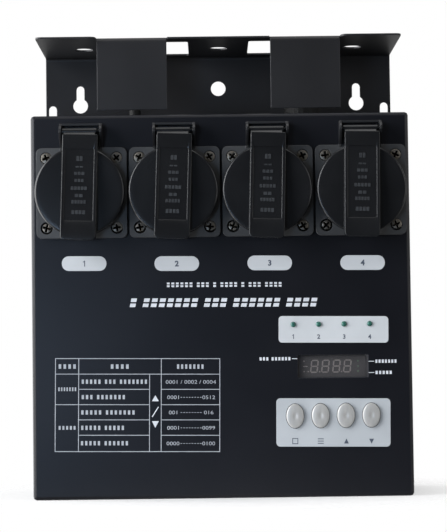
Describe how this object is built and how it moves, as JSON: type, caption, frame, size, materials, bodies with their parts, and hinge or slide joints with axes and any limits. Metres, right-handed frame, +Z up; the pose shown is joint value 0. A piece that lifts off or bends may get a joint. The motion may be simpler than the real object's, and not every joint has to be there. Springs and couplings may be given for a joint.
{
  "type": "dmx dimmer pack",
  "caption": "Black steel dimmer pack with a row of flap-covered mains sockets, a small display with push buttons below, and a folded hanging bracket on top.",
  "frame": {"origin": "on the underside of the case, halfway along its width and its depth", "axes": "+X to the right seen from the front, +Y to the rear, +Z up; the mains sockets face -Y"},
  "size_m": [0.21, 0.1045, 0.2543],
  "materials": {
    "case_paint": "black satin powder coat on folded steel",
    "socket_plastic": "dark grey moulded thermoplastic",
    "lid_plastic": "black moulded ABS, fine grain",
    "black_plastic": "black moulded nylon",
    "steel": "nickel-plated steel",
    "black_screw": "blackened steel",
    "brass": "bright brass strip",
    "button_silver": "silver-painted moulded plastic",
    "lamp_green": "tinted clear epoxy",
    "display": "dark moulded display body",
    "smoked_window": "smoked acrylic sheet",
    "circuit_board": "green solder mask on glass-fibre board",
    "heatsink_aluminium": "plain extruded aluminium",
    "transformer_core": "varnished steel laminations"
  },
  "bodies": {
    "case": {"front_cover": "case_paint", "back_plate": "case_paint", "cover_screw_1": "black_screw", "cover_screw_2": "black_screw", "cover_screw_3": "black_screw", "cover_screw_4": "black_screw", "socket_body_1": "socket_plastic", "socket_body_2": "socket_plastic", "socket_body_3": "socket_plastic", "socket_body_4": "socket_plastic", "hinge_pin_1": "steel", "hinge_pin_2": "steel", "hinge_pin_3": "steel", "hinge_pin_4": "steel", "earth_clip_1": "brass", "earth_clip_2": "brass", "earth_clip_3": "brass", "earth_clip_4": "brass", "socket_screw_1": "steel", "socket_screw_2": "steel", "socket_screw_3": "steel", "socket_screw_4": "steel", "socket_screw_5": "steel", "socket_screw_6": "steel", "socket_screw_7": "steel", "socket_screw_8": "steel", "socket_screw_9": "steel", "socket_screw_10": "steel", "socket_screw_11": "steel", "socket_screw_12": "steel", "socket_screw_13": "steel", "socket_screw_14": "steel", "socket_screw_15": "steel", "socket_screw_16": "steel", "channel_lamp_1": "lamp_green", "channel_lamp_2": "lamp_green", "channel_lamp_3": "lamp_green", "channel_lamp_4": "lamp_green", "display_window": "smoked_window", "display_module": "display", "control_board": "circuit_board", "power_board": "circuit_board", "heatsink": "heatsink_aluminium", "transformer": "transformer_core", "dmx_in_socket": "black_plastic", "dmx_out_socket": "black_plastic", "cable_gland": "black_plastic", "gland_nut": "black_plastic", "breaker_body": "black_plastic"},
    "lid_1": {"socket_lid_1": "lid_plastic"},
    "lid_2": {"socket_lid_2": "lid_plastic"},
    "lid_3": {"socket_lid_3": "lid_plastic"},
    "lid_4": {"socket_lid_4": "lid_plastic"},
    "key_1": {"button_1": "button_silver"},
    "key_2": {"button_2": "button_silver"},
    "key_3": {"button_3": "button_silver"},
    "key_4": {"button_4": "button_silver"},
    "reset": {"breaker_button": "black_plastic"}
  },
  "joints": [
    {"name": "lid_1_hinge", "type": "hinge", "parent": "case", "child": "lid_1", "pos_m": [-0.0752, -0.0505, 0.1989], "axis": [-1, 0, 0], "range_deg": [0, 105], "stiffness_Nm_per_rad": 0.006, "springref_deg": -45.84},
    {"name": "lid_2_hinge", "type": "hinge", "parent": "case", "child": "lid_2", "pos_m": [-0.0247, -0.0505, 0.1989], "axis": [-1, 0, 0], "range_deg": [0, 105], "stiffness_Nm_per_rad": 0.006, "springref_deg": -45.84},
    {"name": "lid_3_hinge", "type": "hinge", "parent": "case", "child": "lid_3", "pos_m": [0.0258, -0.0505, 0.1989], "axis": [-1, 0, 0], "range_deg": [0, 105], "stiffness_Nm_per_rad": 0.006, "springref_deg": -45.84},
    {"name": "lid_4_hinge", "type": "hinge", "parent": "case", "child": "lid_4", "pos_m": [0.0763, -0.0505, 0.1989], "axis": [-1, 0, 0], "range_deg": [0, 105], "stiffness_Nm_per_rad": 0.006, "springref_deg": -45.84},
    {"name": "button_1_press", "type": "slide", "parent": "case", "child": "key_1", "axis": [0, 1, 0], "range_m": [0, 0.0008], "stiffness_N_per_m": 800, "springref_m": -0.0005},
    {"name": "button_2_press", "type": "slide", "parent": "case", "child": "key_2", "axis": [0, 1, 0], "range_m": [0, 0.0008], "stiffness_N_per_m": 800, "springref_m": -0.0005},
    {"name": "button_3_press", "type": "slide", "parent": "case", "child": "key_3", "axis": [0, 1, 0], "range_m": [0, 0.0008], "stiffness_N_per_m": 800, "springref_m": -0.0005},
    {"name": "button_4_press", "type": "slide", "parent": "case", "child": "key_4", "axis": [0, 1, 0], "range_m": [0, 0.0008], "stiffness_N_per_m": 800, "springref_m": -0.0005},
    {"name": "breaker_reset_travel", "type": "slide", "parent": "case", "child": "reset", "axis": [0, 0, 1], "range_m": [0, 0.0035]}
  ]
}
